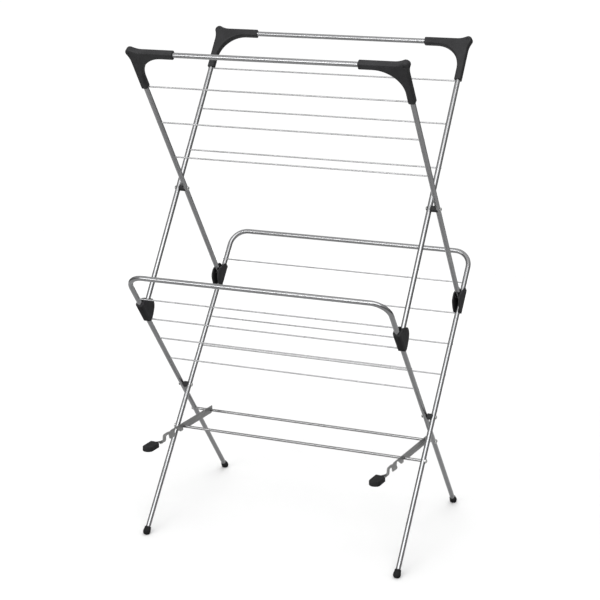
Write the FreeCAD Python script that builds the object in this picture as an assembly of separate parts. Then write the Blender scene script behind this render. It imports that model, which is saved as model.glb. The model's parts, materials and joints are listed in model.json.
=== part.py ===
import FreeCAD, Part
from math import sin, cos, radians, degrees, asin, atan2, sqrt
import os

# Folding clothes drying rack, open on the floor. Lengths in mm.
# X runs along the hanging wires, the front is -Y, the floor is z = 0.
# Two hoop frames cross low down and two rail frames cross high up.

# ---- tubes and wires -------------------------------------------------------
tube_radius = 6.5
tube_wall = 1.0
wire_radius = 1.9
rod_radius = 3.75

# ---- lower pair: hoop frames -----------------------------------------------
leg_spacing = 700.0
pair_offset = 22.0
lower_pivot_z = 335.0
lower_lean = 38.75
hoop_height = 475.5
hoop_bend = 45.0
leg_tube_end = -415.0
rod_station = -120.0
back_hoop_wires = (119.0, 206.5, 295.0, 384.0)
front_hoop_wires = (124.0, 214.5, 299.0, 384.0)

# ---- upper pair: rail frames -----------------------------------------------
rail_height = 470.0
back_rail_wires = (112.5, 236.0, 359.0)
front_rail_wires = (116.5, 239.0, 361.5)

# ---- linkage: the four link points form a rhombus --------------------------
link_length = 334.0
link_inset = 20.0
link_station = sqrt(link_length ** 2 - link_inset ** 2)
link_rise = link_station * cos(radians(lower_lean)) + link_inset * sin(radians(lower_lean))
link_spread = link_station * sin(radians(lower_lean)) - link_inset * cos(radians(lower_lean))
upper_lean = degrees(asin(link_spread / link_length))
upper_pivot_z = lower_pivot_z + link_rise + link_length * cos(radians(upper_lean))

# ---- hinge hardware --------------------------------------------------------
rivet_radius = 2.5
rivet_head_radius = 5.2
rivet_head_height = 3.0
spacer_radius = 8.0
running_gap = 0.05
loose_gap = 0.3
side_gap = 0.3

# ---- moulded link connectors -----------------------------------------------
connector_half_width = 10.5
connector_slot = 6.85
connector_edge = 7.5
connector_pin_radius = 3.0
connector_pin_cover = 1.3

# ---- moulded corner fittings -----------------------------------------------
rail_sleeve_reach = 111.0
leg_sleeve_reach = 109.0
rail_sleeve_half = 9.75
leg_sleeve_half = 9.25
fitting_half_depth = 9.5
knob_radius = 11.0
knob_out = 5.0
knob_up = 6.0
knob_blend = 55.0
inner_bend = 68.0
fitting_edge = 5.5
fitting_bore_end = 26.0

# ---- feet ------------------------------------------------------------------
foot_top = -408.0
foot_top_radius = 8.4
foot_round_radius = 9.9
foot_round_z = 6.6
foot_rim = 1.6

# ---- lock hooks ------------------------------------------------------------
hook_thickness = 2.0
hook_top = 11.0
hook_bottom = -9.5
hook_back_end = -9.5
hook_left_x = (-313.0, -320.3)
hook_right_x = (318.0, 309.5)
back_rod_y = abs(rod_station) * sin(radians(lower_lean))
back_rod_z = lower_pivot_z - abs(rod_station) * cos(radians(lower_lean))
rod_pitch = 2.0 * back_rod_y
hook_eye_gap = 0.08
notch_gap = 0.75
notch_wall = 4.6
grip_start = 298.0
grip_length = 53.0
grip_width = 30.0
grip_top = 5.0
grip_bottom = -8.0
tongue_z = 1.5

os.makedirs("parts", exist_ok=True)

half = leg_spacing / 2.0
shift = pair_offset / 2.0
outer_legs = (-half - shift, half - shift)
inner_legs = (-half + shift, half + shift)


def vec(x, y, z):
    return FreeCAD.Vector(x, y, z)


X_AXIS = vec(1, 0, 0)
Z_AXIS = vec(0, 0, 1)


def save(name, shape):
    shape.exportStep("parts/" + name + ".step")


def lean(shape, degrees_back, pivot_z):
    """Lay an upright frame over about its pivot line; positive leans its top to +Y."""
    moved = shape.copy()
    moved.rotate(vec(0, 0, 0), X_AXIS, -degrees_back)
    moved.translate(vec(0, 0, pivot_z))
    return moved


def rod_x(radius, x0, x1, y, z):
    return Part.makeCylinder(radius, x1 - x0, vec(x0, y, z), X_AXIS)


def rounded_bar(x0, x1, y, z, radius, crown):
    """A round bar along X with a low dome on both ends."""
    bar = rod_x(radius, x0 + crown, x1 - crown, y, z)
    for end, sign in ((x0, 1.0), (x1, -1.0)):
        base = vec(end + sign * crown, y, z)
        cap = Part.makeCone(radius, radius * 0.55, crown, base, vec(-sign, 0, 0))
        bar = bar.fuse(cap)
    return bar.removeSplitter()


def turned_x(profile, y, z):
    """Turn a closed (x, radius) profile round a line along X; a 'bow' entry bends the next stretch."""
    edges = []
    last = profile[0]
    bow = None
    for point in list(profile[1:]) + [profile[0]]:
        if len(point) == 3:
            bow = vec(point[0], point[1], 0)
            continue
        a = vec(last[0], last[1], 0)
        b = vec(point[0], point[1], 0)
        if bow is None:
            edges.append(Part.makeLine(a, b))
        else:
            edges.append(Part.Arc(a, bow, b).toShape())
        bow = None
        last = point
    solid = Part.Face(Part.Wire(edges)).revolve(vec(0, 0, 0), X_AXIS, 360)
    if solid.Volume < 0:
        solid.reverse()
    solid.translate(vec(0, y, z))
    return solid


def crown(x, radius, height, sign):
    """Profile points of a low domed head, from its rim at x to its small flat tip."""
    rim = (x + sign * height * 0.25, radius)
    bow = (x + sign * height * 0.8, radius * 0.68, "bow")
    tip = (x + sign * height, radius * 0.2)
    return [(x, radius), rim, bow, tip, (x + sign * height, 0.0)]


# ---------------------------------------------------------------------------
# tubes, built upright in the plane y = 0 with the pivot line at z = 0
# ---------------------------------------------------------------------------
def hoop_path(legs):
    left, right = legs
    bend = hoop_bend
    top = hoop_height
    foot = leg_tube_end
    k = bend * (1.0 - cos(radians(45.0)))
    edges = [
        Part.makeLine(vec(left, 0, foot), vec(left, 0, top - bend)),
        Part.Arc(vec(left, 0, top - bend), vec(left + k, 0, top - k), vec(left + bend, 0, top)).toShape(),
        Part.makeLine(vec(left + bend, 0, top), vec(right - bend, 0, top)),
        Part.Arc(vec(right - bend, 0, top), vec(right - k, 0, top - k), vec(right, 0, top - bend)).toShape(),
        Part.makeLine(vec(right, 0, top - bend), vec(right, 0, foot)),
    ]
    return Part.Wire(edges)


def swept(path, radius, start):
    ring = Part.Wire(Part.makeCircle(radius, start, Z_AXIS))
    return path.makePipeShell([ring], True, False)


def hoop_tube(legs):
    path = hoop_path(legs)
    start = vec(legs[0], 0, leg_tube_end)
    outside = swept(path, tube_radius, start)
    inside = swept(path, tube_radius - tube_wall, start)
    return outside.cut(inside)


def straight_tube(base, direction, length):
    outside = Part.makeCylinder(tube_radius, length, base, direction)
    inside = Part.makeCylinder(tube_radius - tube_wall, length, base, direction)
    return outside.cut(inside)


def drilled(tube, legs, stations, radius):
    for station in stations:
        tube = tube.cut(rod_x(radius, legs[0] - 20, legs[1] + 20, 0, station))
    return tube


def hanging_wire(legs, station):
    reach = tube_radius + 1.2
    return rounded_bar(legs[0] - reach, legs[1] + reach, 0, station, wire_radius, 0.8)


def cross_rod(legs):
    return rod_x(rod_radius, legs[0] - tube_radius - 0.6, legs[1] + tube_radius + 0.6, 0, rod_station)


def rod_heads(legs):
    heads = []
    for x, sign in ((legs[0], -1.0), (legs[1], 1.0)):
        seat = x + sign * (tube_radius + 0.6)
        head = turned_x([(x, 0.0), (x, 5.4)] + crown(seat, 5.4, 3.2, sign), 0, rod_station)
        tube = Part.makeCylinder(tube_radius, 60, vec(x, 0, rod_station - 30), Z_AXIS)
        inner = x - sign
        rod = rod_x(rod_radius, min(inner, seat), max(inner, seat), 0, rod_station)
        heads.append(head.cut(tube).cut(rod))
    return Part.makeCompound([solid for head in heads for solid in head.Solids])


# ---------------------------------------------------------------------------
# feet: moulded caps pushed on the leg ends, flared, with a flat to stand on
# ---------------------------------------------------------------------------
def foot_cap(x, degrees_back):
    centre = (foot_round_z - lower_pivot_z) / cos(radians(lower_lean))
    r0 = foot_top_radius
    r1 = foot_round_radius
    profile = [
        vec(0, 0, foot_top), vec(r0 - 0.8, 0, foot_top), vec(r0, 0, foot_top - 0.8),
        vec(r0 + 0.2, 0, foot_top - 4.0), vec(r1, 0, centre + 2.0), vec(r1, 0, centre),
    ]
    edges = [Part.makeLine(profile[i], profile[i + 1]) for i in range(len(profile) - 1)]
    k = r1 * cos(radians(45.0))
    edges.append(Part.Arc(vec(r1, 0, centre), vec(k, 0, centre - k), vec(0, 0, centre - r1)).toShape())
    edges.append(Part.makeLine(vec(0, 0, centre - r1), profile[0]))
    cap = Part.Face(Part.Wire(edges)).revolve(vec(0, 0, 0), Z_AXIS, 360)
    socket = Part.makeCylinder(tube_radius, foot_top - leg_tube_end, vec(0, 0, leg_tube_end), Z_AXIS)
    cap = cap.cut(socket)
    cap.translate(vec(x, 0, 0))
    cap = lean(cap, degrees_back, lower_pivot_z)
    floor = Part.makeBox(80, 80, 40, vec(x - 40, cap.BoundBox.Center.y - 40, -40))
    cap = cap.cut(floor)
    rim = [edge for edge in cap.Edges if edge.BoundBox.ZMax < 0.01]
    return cap.makeFillet(foot_rim, rim)


# ---------------------------------------------------------------------------
# link connector: a channel moulding wrapped round a hoop leg.
# Profile corners are (along the leg, inward), measured from link_station - 5.8.
# ---------------------------------------------------------------------------
def connector(x, inward, bar_station):
    base = link_station - 5.8
    outline = [
        (-24.0, -10.2), (32.5, -10.2), (35.2, -8.6), (36.5, -5.5), (37.6, 9.0), (37.2, 12.6), (35.0, 15.8),
        (12.5, 35.7), (8.2, 38.6), (3.5, 39.8), (-6.0, 39.2), (-11.8, 37.4), (-16.4, 34.2), (-20.4, 29.4),
        (-27.0, 17.0), (-30.8, 7.5), (-31.8, 2.0), (-31.2, -3.6), (-28.6, -8.2),
    ]
    points = [vec(x - connector_half_width, inward * v, base + u) for u, v in outline]
    points.append(points[0])
    width = 2.0 * connector_half_width
    plate = Part.Face(Part.makePolygon(points)).extrude(vec(width, 0, 0))
    back = -10.2
    low = min(inward * back, inward * 50.0)
    block = Part.makeBox(width, 50.0 - back, 80.0, vec(x - connector_half_width, low, base - 32.0))
    corner_edges = []
    for edge in block.Edges:
        ends = [v.Point for v in edge.Vertexes]
        upright = abs(ends[0].z - ends[1].z) > 70.0
        outer = abs(ends[0].y - inward * back) < 0.01
        if upright and outer:
            corner_edges.append(edge)
    block = block.makeFillet(connector_edge, corner_edges)
    body = plate.common(block)
    slot_low = min(0.0, inward * 60.0)
    slot = Part.makeBox(2.0 * connector_slot, 60.0, 100.0, vec(x - connector_slot, slot_low, base - 45.0))
    bore = Part.makeCylinder(tube_radius, 120.0, vec(x, 0, base - 60.0), Z_AXIS)
    bar_hole = rod_x(wire_radius, x - 20, x + 20, 0, bar_station)
    return body.cut(slot).cut(bore).cut(bar_hole).cut(connector_pin(x, inward))


def connector_pin(x, inward):
    """The hinge pin, hidden in blind holes in the connector's two cheeks."""
    reach = connector_half_width - connector_pin_cover
    return rod_x(connector_pin_radius, x - reach, x + reach, inward * link_inset, link_station)


# ---------------------------------------------------------------------------
# cross pivots: a rivet through both tubes with a spacer between them.
# The rivet and the spacer stay with the leg at x_held; the leg at x_free turns.
# ---------------------------------------------------------------------------
def cross_rivet(x_held, x_free):
    sign = 1.0 if x_free > x_held else -1.0
    start = x_held - sign * (tube_radius + 0.2)
    end = x_free + sign * (tube_radius + side_gap)
    first = crown(start, rivet_head_radius, rivet_head_height, -sign)
    last = crown(end, rivet_head_radius, rivet_head_height, sign)
    first.reverse()
    shaft = [(start, rivet_radius), (end, rivet_radius)]
    return turned_x(first + shaft + last, 0, 0)


def cross_spacer(x_held, x_free):
    sign = 1.0 if x_free > x_held else -1.0
    end = x_free - sign * (tube_radius + side_gap)
    block = rod_x(spacer_radius, min(x_held, end), max(x_held, end), 0, 0)
    tube = Part.makeCylinder(tube_radius, 60, vec(x_held, 0, -30), Z_AXIS)
    shaft = rod_x(rivet_radius, min(x_held, end) - 1, max(x_held, end) + 1, 0, 0)
    block = block.cut(tube).cut(shaft)
    return max(block.Solids, key=lambda solid: solid.Volume)


# ---------------------------------------------------------------------------
# corner fitting: two sleeves joined by a bend, with a round knob outside
# ---------------------------------------------------------------------------
def fitting_face():
    """Outline in X-Z: corner of the two axes at the origin, rail to +X, leg to -Z."""
    a = rail_sleeve_half
    b = leg_sleeve_half
    blend = knob_blend
    reach = knob_radius + blend
    rail_centre = vec(-knob_out + sqrt(reach ** 2 - (a + blend - knob_up) ** 2), 0, a + blend)
    leg_centre = vec(-b - blend, 0, knob_up - sqrt(reach ** 2 - (b + blend - knob_out) ** 2))
    knob = vec(-knob_out, 0, knob_up)
    rail_touch = knob + (rail_centre - knob) * (knob_radius / reach)
    leg_touch = knob + (leg_centre - knob) * (knob_radius / reach)
    rail_flat = vec(rail_centre.x, 0, a)
    leg_flat = vec(-b, 0, leg_centre.z)
    knob_far = knob + vec(-1, 0, 1) * (knob_radius / sqrt(2.0))

    def mid(centre, radius, p, q):
        d = (p - centre) + (q - centre)
        return centre + d * (radius / d.Length)

    bend_centre = vec(b + inner_bend, 0, -a - inner_bend)
    bend_top = vec(b + inner_bend, 0, -a)
    bend_side = vec(b, 0, -a - inner_bend)
    edges = [
        Part.Arc(leg_touch, knob_far, rail_touch).toShape(),
        Part.Arc(rail_touch, mid(rail_centre, blend, rail_touch, rail_flat), rail_flat).toShape(),
        Part.makeLine(rail_flat, vec(rail_sleeve_reach, 0, a)),
        Part.makeLine(vec(rail_sleeve_reach, 0, a), vec(rail_sleeve_reach, 0, -a)),
        Part.makeLine(vec(rail_sleeve_reach, 0, -a), bend_top),
        Part.Arc(bend_top, mid(bend_centre, inner_bend, bend_top, bend_side), bend_side).toShape(),
        Part.makeLine(bend_side, vec(b, 0, -leg_sleeve_reach)),
        Part.makeLine(vec(b, 0, -leg_sleeve_reach), vec(-b, 0, -leg_sleeve_reach)),
        Part.makeLine(vec(-b, 0, -leg_sleeve_reach), leg_flat),
        Part.Arc(leg_flat, mid(leg_centre, blend, leg_flat, leg_touch), leg_touch).toShape(),
    ]
    return Part.Face(Part.Wire(edges))


def corner_fitting():
    d = fitting_half_depth
    face = fitting_face()
    face.translate(vec(0, -d, 0))
    body = face.extrude(vec(0, 2.0 * d, 0))
    rim = []
    for edge in body.Edges:
        ys = [v.Point.y for v in edge.Vertexes]
        on_side = abs(abs(ys[0]) - d) < 0.01 and abs(ys[0] - ys[-1]) < 0.01
        box = edge.BoundBox
        rail_end = abs(box.XMin - rail_sleeve_reach) < 0.01
        leg_end = abs(box.ZMax + leg_sleeve_reach) < 0.01
        if on_side and not rail_end and not leg_end:
            rim.append(edge)
    body = body.makeFillet(fitting_edge, rim)
    mouth = []
    for edge in body.Edges:
        box = edge.BoundBox
        rail_end = box.XMax - box.XMin < 0.01 and abs(box.XMin - rail_sleeve_reach) < 0.01
        leg_end = box.ZMax - box.ZMin < 0.01 and abs(box.ZMax + leg_sleeve_reach) < 0.01
        if rail_end or leg_end:
            mouth.append(edge)
    body = body.makeFillet(1.8, mouth)
    rail_bore = Part.makeCylinder(tube_radius, rail_sleeve_reach, vec(fitting_bore_end, 0, 0), X_AXIS)
    leg_bore = Part.makeCylinder(tube_radius, leg_sleeve_reach, vec(0, 0, -fitting_bore_end), vec(0, 0, -1))
    body = body.cut(rail_bore).cut(leg_bore)
    for sign in (-1.0, 1.0):
        dimple = Part.makeSphere(5.0, vec(-knob_out, sign * (d + 3.2), knob_up))
        body = body.cut(dimple)
    return body


# ---------------------------------------------------------------------------
# lock hook: a flat strip that turns on the back rod and drops over the front rod
# ---------------------------------------------------------------------------
def notch_back_wall(clear):
    """Back wall of the notch, from its top to the hook's lower edge.

    It follows the arc that the front rod takes round the lower pivot as the frames fold,
    so the hook clears the rod all the way. Points are (along, up) from the back rod.
    """
    swing = abs(rod_station)
    pivot_up = swing * cos(radians(lower_lean))
    pivot_along = rod_pitch / 2.0
    inner = swing - clear
    wall = []
    for i in range(7):
        angle = radians(lower_lean - i * 1.9)
        wall.append((pivot_along + inner * sin(angle), pivot_up - inner * cos(angle)))
    if wall[-1][1] > hook_bottom:
        drop = pivot_up - hook_bottom
        wall.append((pivot_along + sqrt(inner ** 2 - drop ** 2), hook_bottom))
    return wall


def hook_plate():
    """The strip and its zigzag, as corners (along, up) from the back rod towards the front."""
    clear = rod_radius + notch_gap
    seat = rod_pitch
    outline = [(hook_back_end, hook_top - 2.0), (hook_back_end + 2.0, hook_top), (219.0, hook_top)]
    outline += [(223.5, 9.0), (236.0, 11.0), (257.0, 10.6), (260.5, 8.0), (262.0, -2.8), (270.0, -2.8)]
    outline += [(270.0, -11.0), (250.0, -11.0), (247.0, -8.0), (246.0, 2.0), (243.5, 3.4), (232.5, 3.2)]
    outline += [(230.0, 1.0), (229.0, -3.0), (227.0, -9.0), (223.5, -12.0)]
    outline += [(197.5, -13.0), (194.6, -9.8), (195.2, -8.4), (200.6, -3.2), (200.6, 4.6), (198.6, 6.6)]
    outline += [(191.5, 6.4), (186.5, 2.5), (171.5, -8.0), (167.5, hook_bottom)]
    outline += [(seat + notch_wall + 1.0, hook_bottom), (seat + notch_wall, hook_bottom + 1.0)]
    outline += [(seat + notch_wall, 0.0)]
    for angle in (15.0, 35.0, 55.0, 75.0, 95.0):
        outline.append((seat + notch_wall * cos(radians(angle)), clear * sin(radians(angle))))
    outline += notch_back_wall(clear)
    outline += [(2.0, hook_bottom), (hook_back_end + 3.5, hook_bottom + 1.0), (hook_back_end, -5.0)]
    points = [vec(0, -along, up) for along, up in outline]
    points.append(points[0])
    face = Part.Face(Part.makePolygon(points))
    face.translate(vec(-hook_thickness / 2.0, 0, 0))
    return face.extrude(vec(hook_thickness, 0, 0))


def strip_section(along, up, turned, width):
    """One section of the twisted neck: a thin strip turned from upright (0) to flat (90)."""
    w = width / 2.0
    t = hook_thickness / 2.0
    points = []
    for a, b in ((-t, -w), (t, -w), (t, w), (-t, w), (-t, -w)):
        c = cos(radians(turned))
        s = sin(radians(turned))
        points.append(vec(a * c - b * s, -along, up + a * s + b * c))
    return Part.makePolygon(points)


def hook_neck():
    """The strip turns flat between the zigzag and the grip; each entry is along, up, turn, width."""
    stations = (
        (266.0, -6.9, 0.0, 8.2), (271.0, -6.6, 12.0, 8.2), (276.0, -5.8, 34.0, 8.6), (281.0, -4.4, 60.0, 9.6),
        (287.0, -2.4, 82.0, 12.0), (293.0, -0.4, 90.0, 15.5), (grip_start + 2.0, tongue_z, 90.0, 18.0),
    )
    sections = [strip_section(*station) for station in stations]
    twist = Part.makeLoft(sections, True, True)
    tongue = Part.makeBox(18.0, grip_length - 14.0, hook_thickness)
    tongue.translate(vec(-9.0, -grip_start - grip_length + 12.0, tongue_z - hook_thickness / 2.0))
    return twist.fuse(tongue)


def lay_hook(shape, x_ends):
    """Turn a hook in plan so it runs from the back rod crossing to the front rod crossing."""
    swing = degrees(atan2(x_ends[1] - x_ends[0], rod_pitch))
    moved = shape.copy()
    moved.rotate(vec(0, 0, 0), Z_AXIS, swing)
    moved.translate(vec(x_ends[0], back_rod_y, back_rod_z))
    return moved


def hook_bar(x_ends):
    rib = Part.makeCylinder(1.6, 118.0, vec(hook_thickness / 2.0 - 0.8, -126.0, 0.6), vec(0, 1, 0))
    bar = hook_plate().fuse([rib, hook_neck()]).removeSplitter()
    eye = rod_x(rod_radius + hook_eye_gap, x_ends[0] - 30, x_ends[0] + 30, back_rod_y, back_rod_z)
    return lay_hook(bar, x_ends).cut(eye)


def hook_grip(x_ends):
    w = grip_width / 2.0
    plan = [
        (-w, 0.0), (w - 8.0, 0.0), (w, 9.0), (w, grip_length - 12.0), (w - 3.0, grip_length - 5.0),
        (w - 9.0, grip_length - 1.0), (-w + 12.0, grip_length), (-w + 5.0, grip_length - 3.0),
        (-w + 1.0, grip_length - 9.0), (-w, grip_length - 16.0),
    ]
    points = [vec(x, -grip_start - s, grip_bottom) for x, s in plan]
    points.append(points[0])
    body = Part.Face(Part.makePolygon(points)).extrude(vec(0, 0, grip_top - grip_bottom))
    level = [edge for edge in body.Edges if edge.BoundBox.ZMax - edge.BoundBox.ZMin < 0.01]
    body = body.makeFillet(2.6, level)
    return lay_hook(body.cut(hook_neck()), x_ends)


# ---------------------------------------------------------------------------
# lower pair: the back hoop stands on the front feet, the front hoop on the back feet
# ---------------------------------------------------------------------------
back_hoop = hoop_tube(inner_legs)
back_hoop = drilled(back_hoop, inner_legs, back_hoop_wires, wire_radius)
back_hoop = drilled(back_hoop, inner_legs, (rod_station,), rod_radius)
back_hoop = drilled(back_hoop, inner_legs, (0.0,), rivet_radius)
save("back_hoop_tube", lean(back_hoop, lower_lean, lower_pivot_z))

front_hoop = hoop_tube(outer_legs)
front_hoop = drilled(front_hoop, outer_legs, front_hoop_wires, wire_radius)
front_hoop = drilled(front_hoop, outer_legs, (rod_station,), rod_radius)
front_hoop = drilled(front_hoop, outer_legs, (0.0,), rivet_radius + running_gap)
save("front_hoop_tube", lean(front_hoop, -lower_lean, lower_pivot_z))

for number, station in enumerate(back_hoop_wires, 1):
    save("back_hoop_wire_%d" % number, lean(hanging_wire(inner_legs, station), lower_lean, lower_pivot_z))
for number, station in enumerate(front_hoop_wires, 1):
    save("front_hoop_wire_%d" % number, lean(hanging_wire(outer_legs, station), -lower_lean, lower_pivot_z))

save("front_cross_rod", lean(cross_rod(inner_legs), lower_lean, lower_pivot_z))
save("back_cross_rod", lean(cross_rod(outer_legs), -lower_lean, lower_pivot_z))
save("front_cross_rod_heads", lean(rod_heads(inner_legs), lower_lean, lower_pivot_z))
save("back_cross_rod_heads", lean(rod_heads(outer_legs), -lower_lean, lower_pivot_z))

sides = (
    ("left", inner_legs[0], outer_legs[0]),
    ("right", inner_legs[1], outer_legs[1]),
)
for side, inner_x, outer_x in sides:
    save("front_foot_" + side, foot_cap(inner_x, lower_lean))
    save("back_foot_" + side, foot_cap(outer_x, -lower_lean))
    save("lower_pivot_rivet_" + side, lean(cross_rivet(inner_x, outer_x), lower_lean, lower_pivot_z))
    save("lower_pivot_spacer_" + side, lean(cross_spacer(inner_x, outer_x), lower_lean, lower_pivot_z))
    front_body = connector(outer_x, 1.0, front_hoop_wires[2])
    save("front_connector_" + side, lean(front_body, -lower_lean, lower_pivot_z))
    back_body = connector(inner_x, -1.0, back_hoop_wires[2])
    save("back_connector_" + side, lean(back_body, lower_lean, lower_pivot_z))
    save("front_connector_pin_" + side, lean(connector_pin(outer_x, 1.0), -lower_lean, lower_pivot_z))
    save("back_connector_pin_" + side, lean(connector_pin(inner_x, -1.0), lower_lean, lower_pivot_z))

# ---------------------------------------------------------------------------
# upper pair: the back rail frame rises from the front connectors, the front
# rail frame from the back connectors
# ---------------------------------------------------------------------------
upper_leg_bottom = -link_length - 10.5
upper_leg_top = rail_height - fitting_bore_end


def upper_leg(x, stations, rivet_hole):
    leg = straight_tube(vec(x, 0, upper_leg_bottom), Z_AXIS, upper_leg_top - upper_leg_bottom)
    span = (x, x)
    leg = drilled(leg, span, stations, wire_radius)
    leg = drilled(leg, span, (0.0,), rivet_hole)
    return drilled(leg, span, (-link_length,), connector_pin_radius + running_gap)


def rail_tube(legs):
    start = legs[0] + fitting_bore_end
    end = legs[1] - fitting_bore_end
    return straight_tube(vec(start, 0, rail_height), X_AXIS, end - start)


def place_fitting(x, side, bar_station):
    """Corner fitting at the top of the leg at x, notched where it meets the top bar."""
    fitting = corner_fitting()
    if side == "right":
        fitting = fitting.mirror(vec(0, 0, 0), X_AXIS)
    fitting.translate(vec(x, 0, rail_height))
    return fitting.cut(rod_x(wire_radius, x - 20, x + 20, 0, bar_station))


frames = (
    ("back_rail", outer_legs, back_rail_wires, upper_lean, rivet_radius + loose_gap),
    ("front_rail", inner_legs, front_rail_wires, -upper_lean, rivet_radius),
)
for name, legs, stations, tilt, rivet_hole in frames:
    for side, x in (("left", legs[0]), ("right", legs[1])):
        save(name + "_leg_" + side, lean(upper_leg(x, stations, rivet_hole), tilt, upper_pivot_z))
        fitting = place_fitting(x, side, stations[2])
        save(name + "_corner_" + side, lean(fitting, tilt, upper_pivot_z))
    save(name + "_tube", lean(rail_tube(legs), tilt, upper_pivot_z))
    for number, station in enumerate(stations, 1):
        save("%s_wire_%d" % (name, number), lean(hanging_wire(legs, station), tilt, upper_pivot_z))

for side, inner_x, outer_x in sides:
    save("upper_pivot_rivet_" + side, lean(cross_rivet(inner_x, outer_x), -upper_lean, upper_pivot_z))
    save("upper_pivot_spacer_" + side, lean(cross_spacer(inner_x, outer_x), -upper_lean, upper_pivot_z))

# ---------------------------------------------------------------------------
# lock hooks
# ---------------------------------------------------------------------------
for side, x_ends in (("left", hook_left_x), ("right", hook_right_x)):
    save("lock_hook_" + side, hook_bar(x_ends))
    save("lock_grip_" + side, hook_grip(x_ends))
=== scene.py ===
import json

import bpy
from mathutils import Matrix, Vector

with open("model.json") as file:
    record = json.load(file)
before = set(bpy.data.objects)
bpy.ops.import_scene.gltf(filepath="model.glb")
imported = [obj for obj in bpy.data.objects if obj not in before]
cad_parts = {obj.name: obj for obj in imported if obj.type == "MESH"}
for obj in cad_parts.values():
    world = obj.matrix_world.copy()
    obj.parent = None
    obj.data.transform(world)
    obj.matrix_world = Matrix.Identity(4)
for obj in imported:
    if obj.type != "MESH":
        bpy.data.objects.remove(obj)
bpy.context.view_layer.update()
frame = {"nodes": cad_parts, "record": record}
nodes = frame["nodes"]


# ---------------------------------------------------------------------------
# materials
# ---------------------------------------------------------------------------
class Mat:
    """A node material with a few helpers for procedural colour, roughness and bump."""

    def __init__(self, name, colour, metallic, roughness, specular=0.5):
        self.material = bpy.data.materials.new(name)
        self.material.use_nodes = True
        self.tree = self.material.node_tree
        self.shader = self.tree.nodes["Principled BSDF"]
        self.shader.inputs["Base Color"].default_value = (*colour, 1.0)
        self.shader.inputs["Metallic"].default_value = metallic
        self.shader.inputs["Roughness"].default_value = roughness
        self.shader.inputs["Specular IOR Level"].default_value = specular
        self.coords = self.add("ShaderNodeTexCoord").outputs["Object"]
        self.normal = None

    def add(self, kind, **settings):
        node = self.tree.nodes.new(kind)
        for key, value in settings.items():
            setattr(node, key, value)
        return node

    def link(self, a, b):
        self.tree.links.new(a, b)

    def noise(self, scale, detail=4.0, roughness=0.55, stretch=None):
        source = self.coords
        if stretch:
            mapping = self.add("ShaderNodeMapping")
            mapping.inputs["Scale"].default_value = stretch
            self.link(source, mapping.inputs["Vector"])
            source = mapping.outputs["Vector"]
        node = self.add("ShaderNodeTexNoise")
        node.inputs["Scale"].default_value = scale
        node.inputs["Detail"].default_value = detail
        node.inputs["Roughness"].default_value = roughness
        self.link(source, node.inputs["Vector"])
        return node.outputs["Fac"]

    def cells(self, scale):
        node = self.add("ShaderNodeTexVoronoi")
        node.inputs["Scale"].default_value = scale
        self.link(self.coords, node.inputs["Vector"])
        return node.outputs["Distance"]

    def ramp(self, source, low, high, a, b):
        node = self.add("ShaderNodeMapRange")
        node.inputs["From Min"].default_value = low
        node.inputs["From Max"].default_value = high
        node.inputs["To Min"].default_value = a
        node.inputs["To Max"].default_value = b
        self.link(source, node.inputs["Value"])
        return node.outputs["Result"]

    def colour(self, source, low, high, first, second):
        node = self.add("ShaderNodeValToRGB")
        node.color_ramp.elements[0].position = low
        node.color_ramp.elements[0].color = (*first, 1.0)
        node.color_ramp.elements[1].position = high
        node.color_ramp.elements[1].color = (*second, 1.0)
        self.link(source, node.inputs["Fac"])
        return node.outputs["Color"]

    def base(self, socket):
        self.link(socket, self.shader.inputs["Base Color"])

    def rough(self, socket):
        self.link(socket, self.shader.inputs["Roughness"])

    def bump(self, source, strength, distance):
        node = self.add("ShaderNodeBump")
        node.inputs["Strength"].default_value = strength
        node.inputs["Distance"].default_value = distance
        self.link(source, node.inputs["Height"])
        if self.normal is not None:
            self.link(self.normal, node.inputs["Normal"])
        self.normal = node.outputs["Normal"]
        self.link(self.normal, self.shader.inputs["Normal"])

    def worn(self, socket, edge_colour, low=0.52, high=0.62):
        """Lighter, rubbed edges where the surface bulges outwards."""
        geometry = self.add("ShaderNodeNewGeometry")
        mask = self.ramp(geometry.outputs["Pointiness"], low, high, 0.0, 1.0)
        patchy = self.add("ShaderNodeMath", operation="MULTIPLY")
        self.link(mask, patchy.inputs[0])
        self.link(self.noise(180.0, 3.0), patchy.inputs[1])
        mix = self.add("ShaderNodeMix", data_type="RGBA")
        self.link(patchy.outputs["Value"], mix.inputs["Factor"])
        self.link(socket, mix.inputs["A"])
        mix.inputs["B"].default_value = (*edge_colour, 1.0)
        return mix.outputs["Result"]


def silver_tube():
    m = Mat("silver_tube", (0.186, 0.187, 0.19), 0.95, 0.22)
    m.base(m.colour(m.noise(9.0, 3.0), 0.3, 0.75, (0.172, 0.173, 0.176), (0.200, 0.201, 0.204)))
    m.rough(m.ramp(m.noise(60.0, 5.0), 0.25, 0.8, 0.19, 0.28))
    m.bump(m.noise(900.0, 2.0), 0.015, 0.0001)
    m.bump(m.noise(55.0, 2.0), 0.006, 0.0003)
    return m.material


def wire_coat():
    m = Mat("wire_coat", (0.22, 0.22, 0.224), 0.9, 0.28)
    m.base(m.colour(m.noise(30.0, 3.0), 0.3, 0.75, (0.205, 0.206, 0.209), (0.245, 0.246, 0.249)))
    m.rough(m.ramp(m.noise(200.0, 3.0), 0.3, 0.75, 0.24, 0.38))
    m.bump(m.noise(700.0, 2.0), 0.015, 0.0001)
    return m.material


def plated_rod():
    m = Mat("plated_rod", (0.17, 0.17, 0.171), 0.95, 0.2)
    draw = m.noise(26.0, 4.0, stretch=(0.2, 24.0, 24.0))
    m.base(m.colour(draw, 0.3, 0.75, (0.15, 0.15, 0.151), (0.19, 0.19, 0.19)))
    m.rough(m.ramp(draw, 0.3, 0.8, 0.14, 0.22))
    m.bump(m.noise(900.0, 2.0), 0.015, 0.0001)
    return m.material


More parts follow.
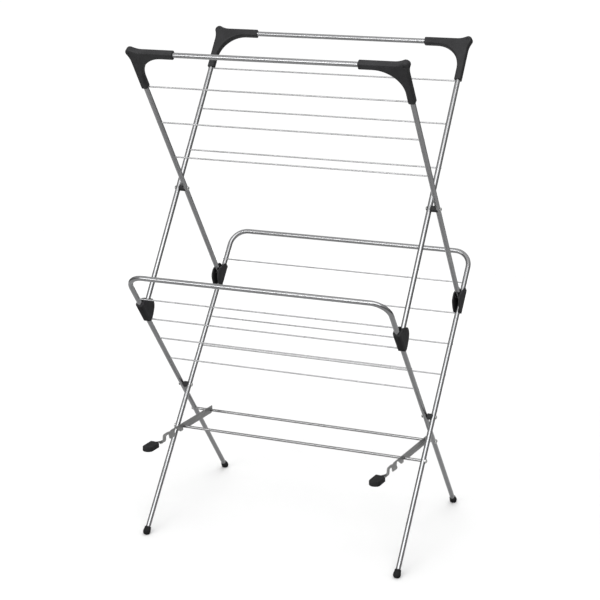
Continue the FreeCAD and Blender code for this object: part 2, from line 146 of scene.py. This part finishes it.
def zinc():
    m = Mat("zinc_hardware", (0.30, 0.30, 0.295), 0.9, 0.34)
    spangle = m.cells(420.0)
    m.base(m.colour(spangle, 0.05, 0.8, (0.25, 0.252, 0.25), (0.36, 0.36, 0.355)))
    m.rough(m.ramp(m.noise(300.0, 4.0), 0.3, 0.8, 0.27, 0.48))
    m.bump(m.noise(800.0, 3.0), 0.15, 0.0002)
    return m.material


def hook_steel():
    m = Mat("hook_steel", (0.13, 0.13, 0.13), 0.85, 0.42)
    grain = m.noise(150.0, 5.0, stretch=(1.0, 0.06, 1.6))
    tone = m.colour(grain, 0.3, 0.75, (0.070, 0.070, 0.070), (0.150, 0.150, 0.148))
    m.base(m.worn(tone, (0.27, 0.27, 0.266)))
    m.rough(m.ramp(grain, 0.3, 0.8, 0.34, 0.55))
    m.bump(m.noise(650.0, 3.0), 0.18, 0.0002)
    return m.material


def charcoal():
    m = Mat("charcoal_plastic", (0.016, 0.016, 0.017), 0.0, 0.56, specular=0.12)
    tone = m.colour(m.noise(40.0, 4.0), 0.3, 0.75, (0.010, 0.010, 0.0105), (0.016, 0.016, 0.017))
    m.base(m.worn(tone, (0.045, 0.045, 0.047), 0.53, 0.66))
    m.rough(m.ramp(m.noise(120.0, 4.0), 0.3, 0.8, 0.50, 0.64))
    m.bump(m.cells(1500.0), 0.22, 0.00025)
    m.bump(m.noise(45.0, 2.0), 0.04, 0.0008)
    return m.material


def black():
    m = Mat("black_plastic", (0.009, 0.009, 0.0095), 0.0, 0.68, specular=0.05)
    tone = m.colour(m.noise(55.0, 4.0), 0.3, 0.75, (0.006, 0.006, 0.0064), (0.012, 0.012, 0.0125))
    m.base(m.worn(tone, (0.035, 0.035, 0.036), 0.53, 0.66))
    m.rough(m.ramp(m.noise(150.0, 4.0), 0.3, 0.8, 0.62, 0.76))
    m.bump(m.cells(1300.0), 0.25, 0.00025)
    return m.material


finish = {
    "silver_tube": silver_tube(),
    "wire": wire_coat(),
    "rod_steel": plated_rod(),
    "zinc_hardware": zinc(),
    "hook_steel": hook_steel(),
    "charcoal_plastic": charcoal(),
    "black_plastic": black(),
}
for part in frame["record"]["subparts"]:
    node = nodes[part["node"]]
    for place in node.material_slots:
        place.material = finish[part["material_slot"]]
# The spacers between the crossing legs are as black as the connectors.
for level in ("lower", "upper"):
    for side in ("left", "right"):
        for place in nodes[level + "_pivot_spacer_" + side].material_slots:
            place.material = finish["black_plastic"]

# ---------------------------------------------------------------------------
# floor, light and camera
# ---------------------------------------------------------------------------
floor_size = 5.6
floor_drop = 0.0005
floor_grey = (0.398, 0.398, 0.398)
floor_pale = (0.408, 0.408, 0.408)
paper_strength = 1.03
dim_strength = 0.16
bright_strength = 1.5
bright_height = 0.9

bpy.ops.mesh.primitive_plane_add(size=floor_size, location=(0.0, 0.0, -floor_drop))
floor = bpy.context.object
floor.name = "floor"
paper = Mat("floor_paper", (0.403, 0.403, 0.403), 0.0, 0.9, specular=0.1)
paper.base(paper.colour(paper.noise(0.8, 2.0), 0.2, 0.8, floor_grey, floor_pale))
floor.data.materials.append(paper.material)

# White paper behind the rack, and a studio that is dim at the sides and brighter above.
world = bpy.data.worlds.new("studio")
world.use_nodes = True
sky = world.node_tree
studio = sky.nodes["Background"]
studio.inputs["Color"].default_value = (1.0, 1.0, 1.0, 1.0)
paper_back = sky.nodes.new("ShaderNodeBackground")
paper_back.inputs["Color"].default_value = (1.0, 1.0, 1.0, 1.0)
paper_back.inputs["Strength"].default_value = paper_strength
direction = sky.nodes.new("ShaderNodeTexCoord")
split = sky.nodes.new("ShaderNodeSeparateXYZ")
rise = sky.nodes.new("ShaderNodeMapRange")
rise.inputs["From Min"].default_value = 0.0
rise.inputs["From Max"].default_value = bright_height
rise.inputs["To Min"].default_value = dim_strength
rise.inputs["To Max"].default_value = bright_strength
ray = sky.nodes.new("ShaderNodeLightPath")
choose = sky.nodes.new("ShaderNodeMixShader")
sky.links.new(direction.outputs["Generated"], split.inputs["Vector"])
sky.links.new(split.outputs["Z"], rise.inputs["Value"])
sky.links.new(rise.outputs["Result"], studio.inputs["Strength"])
sky.links.new(ray.outputs["Is Camera Ray"], choose.inputs["Fac"])
sky.links.new(studio.outputs["Background"], choose.inputs[1])
sky.links.new(paper_back.outputs["Background"], choose.inputs[2])
sky.links.new(choose.outputs["Shader"], sky.nodes["World Output"].inputs["Surface"])
bpy.context.scene.world = world


def softbox(name, place, target, width, height, power, reflected=True):
    """A soft panel light aimed at a point; one that isn't reflected leaves no highlight."""
    light = bpy.data.lights.new(name, "AREA")
    light.shape = "RECTANGLE"
    light.size = width
    light.size_y = height
    light.energy = power
    lamp = bpy.data.objects.new(name, light)
    lamp.location = place
    lamp.rotation_euler = (Vector(target) - Vector(place)).to_track_quat("-Z", "Y").to_euler()
    lamp.visible_glossy = reflected
    bpy.context.collection.objects.link(lamp)


softbox("front_top", (0.9, -2.9, 3.6), (0.0, 0.0, 0.6), 4.4, 3.0, 225.0)
softbox("front_low", (-1.7, -4.4, 2.1), (0.0, 0.0, 0.7), 3.4, 1.3, 150.0)
softbox("back_top", (-2.4, 4.8, 3.9), (-2.6, 4.5, 0.0), 10.0, 5.0, 520.0, reflected=False)

camera_data = bpy.data.cameras.new("camera")
camera_data.lens = 97.84
camera_data.sensor_width = 36.0
camera = bpy.data.objects.new("camera", camera_data)
camera.location = (1.589, -3.7936, 1.7121)
aim = Vector((-0.011, 0.0, 0.608)) - camera.location
camera.rotation_euler = aim.to_track_quat("-Z", "Y").to_euler()
bpy.context.collection.objects.link(camera)
bpy.context.scene.camera = camera

bpy.context.scene.view_settings.view_transform = "Standard"
